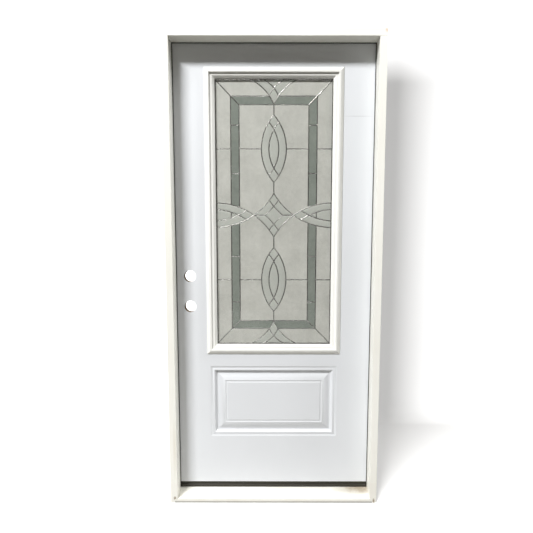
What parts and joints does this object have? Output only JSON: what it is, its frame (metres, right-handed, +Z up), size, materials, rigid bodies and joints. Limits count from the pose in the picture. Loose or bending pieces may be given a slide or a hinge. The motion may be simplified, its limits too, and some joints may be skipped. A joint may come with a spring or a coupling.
{
  "type": "prehung glazed front door",
  "caption": "Prehung front door, inswing, with a leaded three-quarter glass, one embossed panel, a jamb frame and a sloped sill.",
  "frame": {"origin": "middle of the sill's underside, in the plane of the jambs' exterior edges", "axes": "+X right seen from outside, +Y into the house, +Z up"},
  "size_m": [0.956, 0.1467, 2.096],
  "materials": {
    "frame_paint": "wood jamb with a cream-white factory paint, satin",
    "foot_composite": "painted composite, satin",
    "sill_vinyl": "cream-white sill cover, slightly soiled",
    "cap_vinyl": "black-brown threshold cap",
    "seal_foam": "foam-filled weatherstrip, matt",
    "leaf_wood": "raw pine at the edges and in the bores",
    "core_foam": "insulating foam",
    "leaf_skin": "moulded skin, white semi-gloss paint",
    "lite_plastic": "white moulded lite frame, satin",
    "clear_glass": "clear tempered glass",
    "spacer_metal": "mill-finish spacer",
    "came_metal": "patinated came with bright highlights",
    "field_glass": "pale textured glass",
    "border_glass": "grey-green textured glass",
    "bevel_glass": "bevelled glass",
    "sweep_vinyl": "black vinyl sweep",
    "hinge_steel": "satin nickel"
  },
  "bodies": {
    "frame": {"hinge_jamb": "frame_paint", "latch_jamb": "frame_paint", "head_jamb": "frame_paint", "hinge_jamb_foot": "foot_composite", "latch_jamb_foot": "foot_composite", "sill_base": "foot_composite", "sill_deck": "sill_vinyl", "sill_cap": "cap_vinyl", "hinge_weatherstrip": "seal_foam", "latch_weatherstrip": "seal_foam", "head_weatherstrip": "seal_foam", "frame_hinge_leaves": "hinge_steel", "hinge_pins": "hinge_steel"},
    "door": {"lock_stile": "leaf_wood", "hinge_stile": "leaf_wood", "top_rail": "leaf_wood", "bottom_rail": "leaf_wood", "lock_block": "leaf_wood", "foam_core": "core_foam", "exterior_skin": "leaf_skin", "interior_skin": "leaf_skin", "lite_frame_exterior": "lite_plastic", "lite_frame_interior": "lite_plastic", "outer_pane": "clear_glass", "inner_pane": "clear_glass", "glass_spacer": "spacer_metal", "came_lattice": "came_metal", "field_glass": "field_glass", "border_glass": "border_glass", "bevel_glass": "bevel_glass", "door_sweep": "sweep_vinyl", "door_hinge_leaves": "hinge_steel"}
  },
  "joints": [
    {"name": "door_swing", "type": "hinge", "parent": "frame", "child": "door", "pos_m": [0.4565, 0.14035, 0], "axis": [0, 0, -1], "range_deg": [0, 170]}
  ]
}
